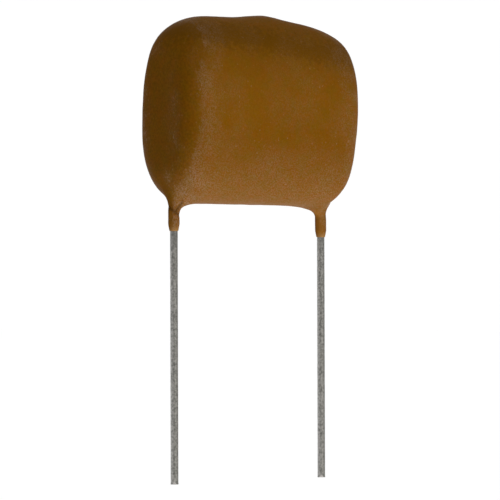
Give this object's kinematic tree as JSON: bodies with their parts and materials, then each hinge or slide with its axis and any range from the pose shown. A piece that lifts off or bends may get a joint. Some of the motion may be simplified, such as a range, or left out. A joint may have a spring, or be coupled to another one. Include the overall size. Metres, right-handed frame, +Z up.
{
  "type": "dipped film capacitor",
  "caption": "Flat epoxy-dipped film capacitor with rounded ends and long straight wire leads that leave the underside through run-downs of the coat.",
  "frame": {"origin": "midway between the two leads on the board's surface, where the longer run-down of the coat ends", "axes": "+X from the left lead to the right lead, -Y out of the front broad face, +Z up from the board through the body; the leads point along -Z"},
  "size_m": [0.0175, 0.0078, 0.0367],
  "materials": {
    "epoxy_coat": "ochre brown epoxy, cured from a dip, satin with fine dust",
    "metallised_film": "pressed roll of clear film with a silvery metal layer",
    "sprayed_zinc": "matt grey sprayed metal, rough",
    "tinned_wire": "dull tin plating, drawn lengthwise"
  },
  "bodies": {
    "root": {"coating": "epoxy_coat", "film_winding": "metallised_film", "end_spray_left": "sprayed_zinc", "end_spray_right": "sprayed_zinc", "lead_left": "tinned_wire", "lead_right": "tinned_wire"}
  },
  "joints": []
}
